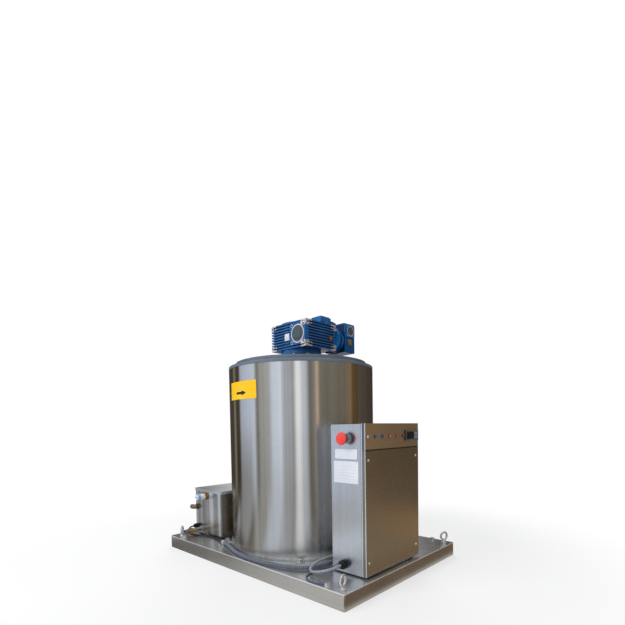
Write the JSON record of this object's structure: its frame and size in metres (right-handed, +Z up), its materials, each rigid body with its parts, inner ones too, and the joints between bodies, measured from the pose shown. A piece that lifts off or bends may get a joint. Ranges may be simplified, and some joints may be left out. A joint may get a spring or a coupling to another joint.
{
  "type": "flake ice machine",
  "caption": "Split flake ice machine: insulated upright evaporator drum with a rotating ice blade, worm-geared motor drive, water tank and control box on a folded steel base tray.",
  "frame": {"origin": "middle of the base tray's underside", "axes": "+Z up, +X along the tray towards the control box, -Y the side with the tank's fittings and the emergency stop"},
  "size_m": [1, 0.68, 1.008],
  "materials": {
    "stainless": "brushed",
    "dark_steel": "satin",
    "zinc": "plated",
    "lid_paint": "satin",
    "gear_blue": "gloss",
    "bare_cast": "machined",
    "brass": "satin",
    "copper": "satin",
    "black_plastic": "satin",
    "red_plastic": "gloss",
    "lamp_lens": "gloss",
    "white_plastic": "satin",
    "float_plastic": "satin",
    "pump_plastic": "satin",
    "foam": "matte",
    "foot_rubber": "matte",
    "cable_black": "matte",
    "conduit_grey": "satin",
    "conduit_silver": "satin",
    "earth_sleeve": "satin"
  },
  "bodies": {
    "root": {"base_tray": "stainless", "drum_jacket": "stainless", "water_trough": "stainless", "box_body": "stainless", "box_fascia": "stainless", "box_cover": "stainless", "water_tank": "stainless", "tank_lid": "stainless", "water_riser": "stainless", "base_rails": "dark_steel", "drum_foot_ring": "dark_steel", "drum_lugs": "dark_steel", "bearing_spider": "dark_steel", "gearbox_pedestal": "dark_steel", "worm_end_caps": "dark_steel", "eye_bolts": "zinc", "hex_bolts": "zinc", "cover_screws": "zinc", "mounting_plate": "zinc", "cable_clips": "zinc", "evaporator_wall": "zinc", "evaporator_sleeve": "zinc", "lid_ring": "lid_paint", "lid_cover": "lid_paint", "main_gearbox": "gear_blue", "gearbox_top_cover": "gear_blue", "input_flange": "gear_blue", "small_gearbox": "gear_blue", "motor_flange": "gear_blue", "motor_frame": "gear_blue", "fan_cowl": "gear_blue", "terminal_box": "gear_blue", "terminal_lid": "gear_blue", "worm_flanges": "bare_cast", "oil_plugs": "brass", "overflow_elbow": "brass", "drain_pipe": "brass", "bottom_bush": "brass", "refrigerant_pipes": "copper", "estop_bezel": "black_plastic", "controller": "black_plastic", "cable_glands": "black_plastic", "contactor": "black_plastic", "pilot_lamps": "lamp_lens", "inlet_valve": "white_plastic", "water_pump": "pump_plastic", "drum_insulation": "foam", "rubber_feet": "foot_rubber", "pump_cable": "cable_black", "pump_conduit": "conduit_grey", "motor_conduit": "conduit_silver", "earth_wire": "earth_sleeve"},
    "scraper": {"main_shaft": "zinc", "scraper_arms": "stainless", "ice_blade": "zinc", "water_pan": "stainless"},
    "motor_rotor": {"motor_fan": "black_plastic"},
    "estop_plunger": {"estop_stem": "dark_steel"},
    "estop_button": {"estop_head": "red_plastic"},
    "float": {"float_arm": "float_plastic"}
  },
  "joints": [
    {"name": "scraper_spin", "type": "hinge", "parent": "root", "child": "scraper", "pos_m": [-0.005, 0, 0.5], "axis": [0, 0, 1], "continuous": true},
    {"name": "motor_spin", "type": "hinge", "parent": "root", "child": "motor_rotor", "pos_m": [-0.14, 0.166, 0.92], "axis": [1, 0, 0], "continuous": true},
    {"name": "estop_push", "type": "slide", "parent": "root", "child": "estop_plunger", "axis": [0, 1, 0], "range_m": [0, 0.005]},
    {"name": "estop_twist", "type": "hinge", "parent": "estop_plunger", "child": "estop_button", "pos_m": [0.405, -0.22, 0.48], "axis": [0, -1, 0], "range_deg": [0, 45], "stiffness_Nm_per_rad": 0.02},
    {"name": "float_swing", "type": "hinge", "parent": "root", "child": "float", "pos_m": [-0.376, -0.203, 0.209], "axis": [1, 0, 0], "range_deg": [0, 30]}
  ],
  "couplings": [
    {"joint": "motor_spin", "follows": "scraper_spin", "ratio": 900}
  ]
}
